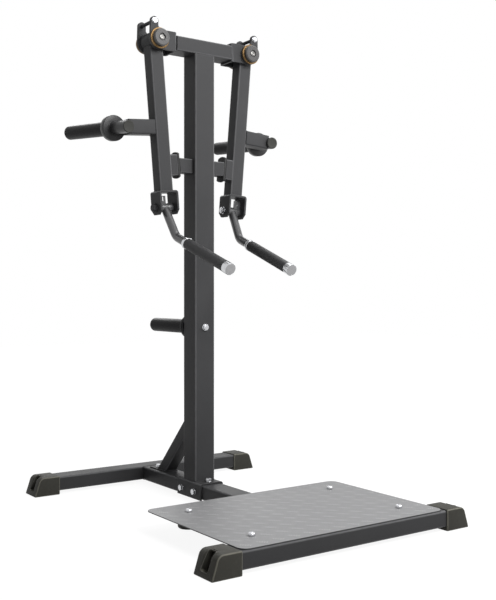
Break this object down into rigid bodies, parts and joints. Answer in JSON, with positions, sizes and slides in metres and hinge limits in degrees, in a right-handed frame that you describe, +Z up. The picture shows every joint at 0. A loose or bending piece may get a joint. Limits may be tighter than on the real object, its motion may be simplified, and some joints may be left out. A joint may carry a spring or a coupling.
{
  "type": "standing lateral raise machine",
  "caption": "Post on an H-shaped base with hinged swing arms that carry plate horns and hinged hand grips, rubber arm stops and a tread plate to stand on.",
  "frame": {"origin": "on the floor under the middle of the footprint", "axes": "+Z up, front of the machine towards -Y, left arm towards -X"},
  "size_m": [0.9422, 1.2372, 1.649],
  "materials": {
    "charcoal_paint": "satin powder coat",
    "foot_rubber": "matt moulded rubber",
    "bumper_rubber": "matt moulded rubber",
    "tread_plate_paint": "satin paint over raised tread pattern",
    "zinc_plated_steel": "bright zinc plate",
    "bronze": "turned bronze",
    "black_cap": "satin black",
    "knurled_black_steel": "knurled, black oxide",
    "chrome": "polished chrome"
  },
  "bodies": {
    "frame": {"rear_cross_tube": "charcoal_paint", "front_cross_tube": "charcoal_paint", "base_spine": "charcoal_paint", "column_saddle": "charcoal_paint", "column": "charcoal_paint", "rear_brace": "charcoal_paint", "platform_tab_front_left": "charcoal_paint", "platform_tab_front_right": "charcoal_paint", "crossbeam": "charcoal_paint", "pivot_bracket_left": "charcoal_paint", "pivot_bracket_right": "charcoal_paint", "bumper_bar_left": "charcoal_paint", "bumper_bar_right": "charcoal_paint", "storage_horn": "charcoal_paint", "foot_front_left": "foot_rubber", "foot_front_right": "foot_rubber", "foot_rear_left": "foot_rubber", "foot_rear_right": "foot_rubber", "platform_post_rear_left": "foot_rubber", "platform_post_rear_right": "foot_rubber", "bumper_pad_left": "bumper_rubber", "bumper_pad_right": "bumper_rubber", "tread_plate": "tread_plate_paint", "saddle_bolt_rear": "zinc_plated_steel", "saddle_bolt_front": "zinc_plated_steel", "saddle_top_bolt": "zinc_plated_steel", "brace_foot_bolt": "zinc_plated_steel", "storage_horn_bolt": "zinc_plated_steel", "stop_bar_left": "zinc_plated_steel", "stop_bar_right": "zinc_plated_steel", "platform_bolt_front_left": "zinc_plated_steel", "platform_bolt_front_right": "zinc_plated_steel", "platform_bolt_rear_left": "zinc_plated_steel", "platform_bolt_rear_right": "zinc_plated_steel", "pivot_bush_front_left": "bronze", "pivot_bush_front_right": "bronze", "pivot_bush_rear_left": "bronze", "pivot_bush_rear_right": "bronze"},
    "arm_left": {"pivot_axle_left": "zinc_plated_steel", "pivot_cap_front_left": "black_cap", "pivot_cap_rear_left": "black_cap", "arm_left": "charcoal_paint", "weight_horn_left": "charcoal_paint", "clevis_left": "charcoal_paint", "handle_pin_left": "zinc_plated_steel"},
    "handle_left": {"handle_left": "charcoal_paint", "handle_grip_left": "knurled_black_steel", "grip_collar_left": "chrome", "grip_end_cap_left": "chrome"},
    "arm_right": {"pivot_axle_right": "zinc_plated_steel", "pivot_cap_front_right": "black_cap", "pivot_cap_rear_right": "black_cap", "arm_right": "charcoal_paint", "weight_horn_right": "charcoal_paint", "clevis_right": "charcoal_paint", "handle_pin_right": "zinc_plated_steel"},
    "handle_right": {"handle_right": "charcoal_paint", "handle_grip_right": "knurled_black_steel", "grip_collar_right": "chrome", "grip_end_cap_right": "chrome"}
  },
  "joints": [
    {"name": "arm_left_swing", "type": "hinge", "parent": "frame", "child": "arm_left", "pos_m": [-0.186, 0.1954, 1.578], "axis": [0, 1, 0], "range_deg": [0, 134]},
    {"name": "handle_left_hinge", "type": "hinge", "parent": "arm_left", "child": "handle_left", "pos_m": [-0.13868, 0.1954, 1.01448], "axis": [-0.9965, 0, -0.0837], "range_deg": [0, 90]},
    {"name": "arm_right_swing", "type": "hinge", "parent": "frame", "child": "arm_right", "pos_m": [0.186, 0.1954, 1.578], "axis": [0, -1, 0], "range_deg": [0, 134]},
    {"name": "handle_right_hinge", "type": "hinge", "parent": "arm_right", "child": "handle_right", "pos_m": [0.13868, 0.1954, 1.01448], "axis": [-0.9965, 0, 0.0837], "range_deg": [0, 90]}
  ]
}
